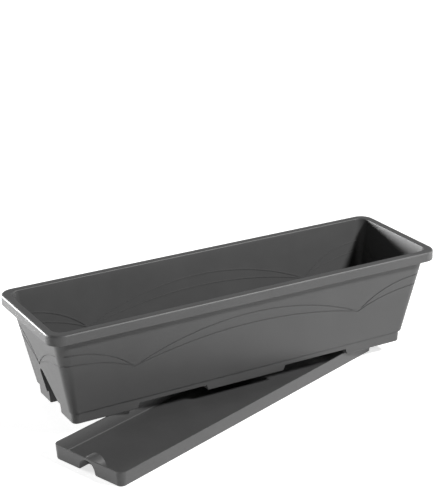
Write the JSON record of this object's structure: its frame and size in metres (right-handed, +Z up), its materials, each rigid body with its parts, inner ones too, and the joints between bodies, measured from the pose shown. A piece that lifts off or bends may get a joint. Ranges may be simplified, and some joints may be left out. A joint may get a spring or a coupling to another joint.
{
  "type": "window box planter with drip tray",
  "caption": "Long tapered window box planter with a broad down-turned rim and fine crescent lines, standing across its shallow drip tray.",
  "frame": {"origin": "on the floor under the middle of the planter box, in the plane of the drip tray's flat underside", "axes": "+X along the planter box, +Y across it to the back, +Z up"},
  "size_m": [0.6029, 0.2943, 0.1655],
  "materials": {
    "box_plastic": "satin moulded",
    "tray_plastic": "satin moulded"
  },
  "bodies": {
    "tray": {"drip_tray": "tray_plastic"},
    "box": {"planter_box": "box_plastic"}
  },
  "joints": [
    {"name": "box_lift", "type": "slide", "parent": "tray", "child": "box", "axis": [0, 0, 1], "range_m": [0, 0.2]}
  ]
}
